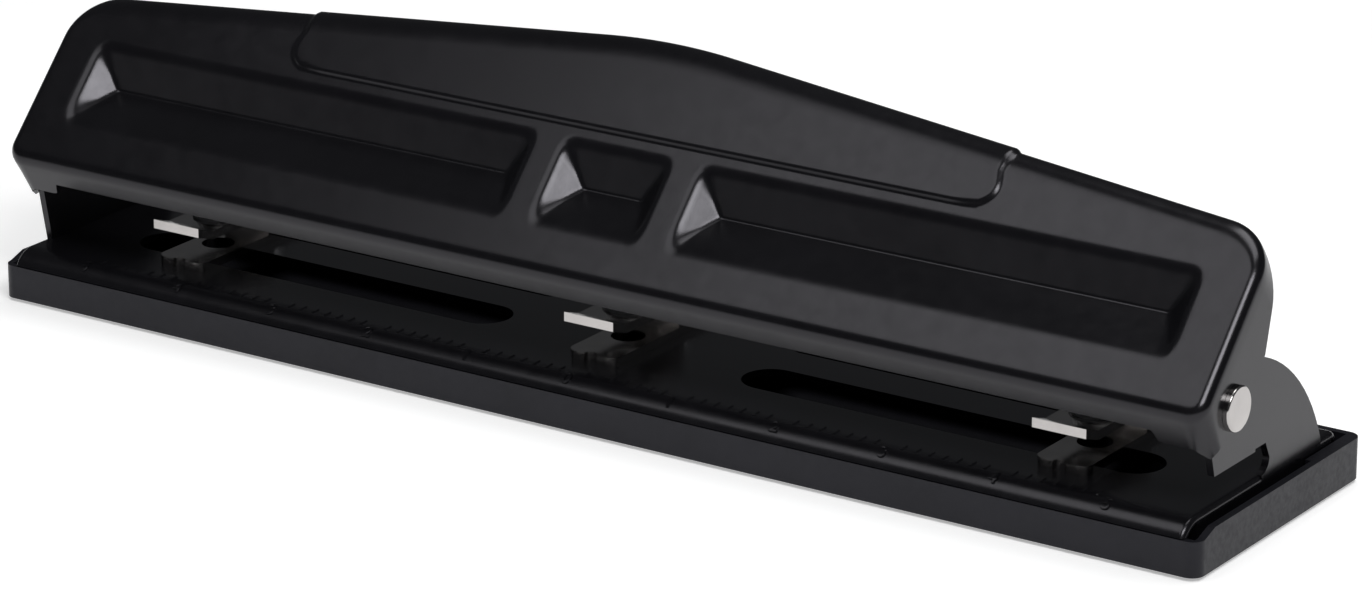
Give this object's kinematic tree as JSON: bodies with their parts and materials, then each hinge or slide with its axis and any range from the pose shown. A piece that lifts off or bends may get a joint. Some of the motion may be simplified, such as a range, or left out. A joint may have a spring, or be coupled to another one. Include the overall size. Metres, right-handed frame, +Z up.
{
  "type": "hole punch",
  "caption": "Three-hole paper punch with a hinged pressed-steel handle, sliding spring-loaded punch heads on a slotted base plate and a removable chip tray.",
  "frame": {"origin": "bottom centre of the whole punch, on the table", "axes": "+X along the punch to its right end, +Y to the rear, +Z up"},
  "size_m": [0.2982, 0.0676, 0.0729],
  "materials": {
    "tray_black": "satin moulded plastic",
    "pad_black": "matt rubber",
    "gloss_black": "gloss black enamel on pressed steel",
    "nickel": "bright nickel plate",
    "zinc": "plain zinc-plated steel",
    "tool_steel": "ground hardened steel",
    "spring_steel": "bright spring wire"
  },
  "bodies": {
    "tray": {"chip_tray": "tray_black", "tray_pads": "pad_black"},
    "frame": {"base_frame": "gloss_black", "left_hinge_rivet": "nickel", "right_hinge_rivet": "nickel", "left_hinge_washer": "zinc", "right_hinge_washer": "zinc", "center_head_bracket": "nickel", "center_guide_bush": "tool_steel", "center_return_spring": "spring_steel", "center_lock_screw": "zinc", "center_lock_nut": "zinc"},
    "handle": {"press_handle": "gloss_black", "left_outer_hanger": "zinc", "left_inner_hanger": "zinc", "right_inner_hanger": "zinc", "right_outer_hanger": "zinc", "press_bar": "tool_steel", "bar_clips": "spring_steel"},
    "left_head": {"left_head_bracket": "nickel", "left_guide_bush": "tool_steel", "left_return_spring": "spring_steel", "left_lock_screw": "zinc", "left_lock_nut": "zinc"},
    "right_head": {"right_head_bracket": "nickel", "right_guide_bush": "tool_steel", "right_return_spring": "spring_steel", "right_lock_screw": "zinc", "right_lock_nut": "zinc"},
    "left_pin": {"left_punch_pin": "tool_steel", "left_spring_clip": "spring_steel"},
    "center_pin": {"center_punch_pin": "tool_steel", "center_spring_clip": "spring_steel"},
    "right_pin": {"right_punch_pin": "tool_steel", "right_spring_clip": "spring_steel"}
  },
  "joints": [
    {"name": "tray_release", "type": "slide", "parent": "tray", "child": "frame", "axis": [0, 0, 1], "range_m": [0, 0.025]},
    {"name": "handle_hinge", "type": "hinge", "parent": "frame", "child": "handle", "pos_m": [0, -0.01975, 0.0313], "axis": [-1, 0, 0], "range_deg": [0, 40], "stiffness_Nm_per_rad": 2.5},
    {"name": "left_head_slide", "type": "slide", "parent": "frame", "child": "left_head", "axis": [1, 0, 0], "range_m": [-0.0145, 0.073]},
    {"name": "right_head_slide", "type": "slide", "parent": "frame", "child": "right_head", "axis": [1, 0, 0], "range_m": [-0.0765, 0.011]},
    {"name": "left_pin_slide", "type": "slide", "parent": "left_head", "child": "left_pin", "axis": [0, 0, -1], "range_m": [0, 0.00753], "deforming": ["left_return_spring"]},
    {"name": "center_pin_slide", "type": "slide", "parent": "frame", "child": "center_pin", "axis": [0, 0, -1], "range_m": [0, 0.00753], "deforming": ["center_return_spring"]},
    {"name": "right_pin_slide", "type": "slide", "parent": "right_head", "child": "right_pin", "axis": [0, 0, -1], "range_m": [0, 0.00753], "deforming": ["right_return_spring"]}
  ],
  "couplings": [
    {"joint": "left_pin_slide", "follows": "handle_hinge", "m_per_rad": 0.010772},
    {"joint": "center_pin_slide", "follows": "handle_hinge", "m_per_rad": 0.010772},
    {"joint": "right_pin_slide", "follows": "handle_hinge", "m_per_rad": 0.010772}
  ]
}
